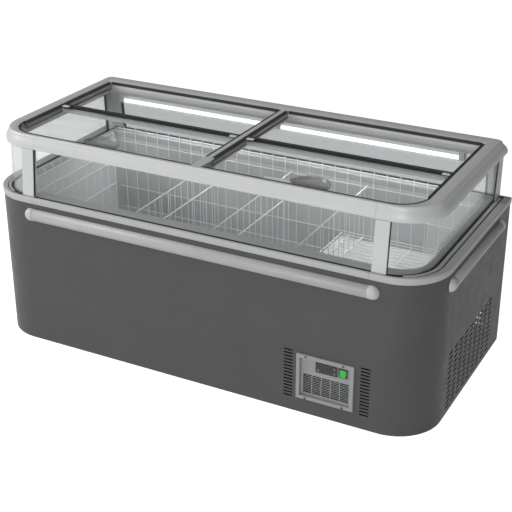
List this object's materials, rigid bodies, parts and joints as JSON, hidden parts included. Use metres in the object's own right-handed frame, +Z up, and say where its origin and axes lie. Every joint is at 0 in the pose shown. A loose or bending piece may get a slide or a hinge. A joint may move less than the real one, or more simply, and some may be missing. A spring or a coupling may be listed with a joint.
{
  "type": "chest freezer",
  "caption": "Low chest freezer with a glazed top, sliding glass lids, wire dividers, a raised wire shelf over the machine bay, bumper rails and a front control panel.",
  "frame": {"origin": "centre of the bounding box on the floor plane, z = 0 under the feet", "axes": "+X along the length to the machine bay end, +Y from the front with the control panel to the rear, +Z up"},
  "size_m": [1.8982, 0.8861, 0.874],
  "materials": {
    "body_paint": "satin powder coat, dark grey",
    "zinc": "galvanised sheet",
    "foot": "moulded glide",
    "liner": "pre-painted light grey sheet",
    "foam": "rigid foam",
    "rim_plastic": "satin light grey",
    "frame_plastic": "satin light grey",
    "clear_glass": "clear tempered glass",
    "seal": "black soft seal",
    "channel": "black extrusion",
    "trim": "light grey extrusion",
    "handle": "dark tinted moulding",
    "lamp": "lit diffuser",
    "lamp_holder": "white moulding",
    "wire": "white coated wire",
    "bumper": "mid grey extrusion",
    "bumper_end": "light grey moulding",
    "bezel": "grey moulding",
    "panel": "dark moulding",
    "meter": "black gloss",
    "key": "grey key",
    "rocker_green": "lit green",
    "screw": "plated screw",
    "black_steel": "black enamel",
    "fins": "black coated fin stack",
    "copper": "copper tube"
  },
  "bodies": {
    "cabinet": {"base_pan": "zinc", "bay_lining": "zinc", "bezel_screws": "screw", "bumper_caps": "bumper_end", "bumper_rails": "bumper", "centre_beam": "frame_plastic", "centre_beam_cap": "frame_plastic", "compressor": "black_steel", "condenser": "fins", "control_bezel": "bezel", "control_plate": "bezel", "corner_posts": "frame_plastic", "discharge_pipe": "copper", "dividers": "wire", "electrical_box": "panel", "end_fence_left": "wire", "end_fence_right": "wire", "fan_frame": "panel", "foot_pads": "foot", "frame_corners": "frame_plastic", "frame_front": "frame_plastic", "frame_rear": "frame_plastic", "frame_sides": "frame_plastic", "front_fence": "wire", "glass_front": "clear_glass", "glass_gaskets": "seal", "glass_left": "clear_glass", "glass_rear": "clear_glass", "glass_right": "clear_glass", "inner_liner": "liner", "insulation_foam": "foam", "led_holders": "lamp_holder", "led_tubes": "lamp", "lid_channels": "channel", "lid_seals": "seal", "outer_shell": "body_paint", "raised_shelf": "wire", "rear_fence": "wire", "rear_panel": "body_paint", "rim_corners": "rim_plastic", "rim_front": "rim_plastic", "rim_rear": "rim_plastic", "rim_sides": "rim_plastic", "rocker_housing": "panel", "thermostat": "meter"},
    "front_lid_left": {"front_lid_left_glass": "clear_glass", "front_lid_left_bar": "channel", "front_lid_left_handle": "handle"},
    "front_lid_right": {"front_lid_right_glass": "clear_glass", "front_lid_right_bar": "channel", "front_lid_right_handle": "handle"},
    "rear_lid_left": {"rear_lid_left_glass": "clear_glass", "rear_lid_left_trim": "trim"},
    "rear_lid_right": {"rear_lid_right_glass": "clear_glass", "rear_lid_right_trim": "trim"},
    "set_key": {"key_set": "key"},
    "down_key": {"key_down": "key"},
    "up_key": {"key_up": "key"},
    "rocker_body": {"rocker": "rocker_green"},
    "fan": {"fan_rotor": "panel"}
  },
  "joints": [
    {"name": "front_lid_left_slide", "type": "slide", "parent": "cabinet", "child": "front_lid_left", "axis": [0, 1, 0], "range_m": [0, 0.33]},
    {"name": "rear_lid_left_slide", "type": "slide", "parent": "cabinet", "child": "rear_lid_left", "axis": [0, -1, 0], "range_m": [0, 0.24]},
    {"name": "front_lid_right_slide", "type": "slide", "parent": "cabinet", "child": "front_lid_right", "axis": [0, 1, 0], "range_m": [0, 0.33]},
    {"name": "rear_lid_right_slide", "type": "slide", "parent": "cabinet", "child": "rear_lid_right", "axis": [0, -1, 0], "range_m": [0, 0.24]},
    {"name": "set_key_press", "type": "slide", "parent": "cabinet", "child": "set_key", "axis": [0, 1, 0], "range_m": [0, 0.0012], "stiffness_N_per_m": 400},
    {"name": "down_key_press", "type": "slide", "parent": "cabinet", "child": "down_key", "axis": [0, 1, 0], "range_m": [0, 0.0012], "stiffness_N_per_m": 400},
    {"name": "up_key_press", "type": "slide", "parent": "cabinet", "child": "up_key", "axis": [0, 1, 0], "range_m": [0, 0.0012], "stiffness_N_per_m": 400},
    {"name": "rocker_tilt", "type": "hinge", "parent": "cabinet", "child": "rocker_body", "pos_m": [0.614, -0.4149, 0.214], "axis": [1, 0, 0], "range_deg": [0, 11]},
    {"name": "fan_spin", "type": "hinge", "parent": "cabinet", "child": "fan", "pos_m": [0.5475, -0.3109, 0.107], "axis": [0, 1, 0], "continuous": true}
  ]
}
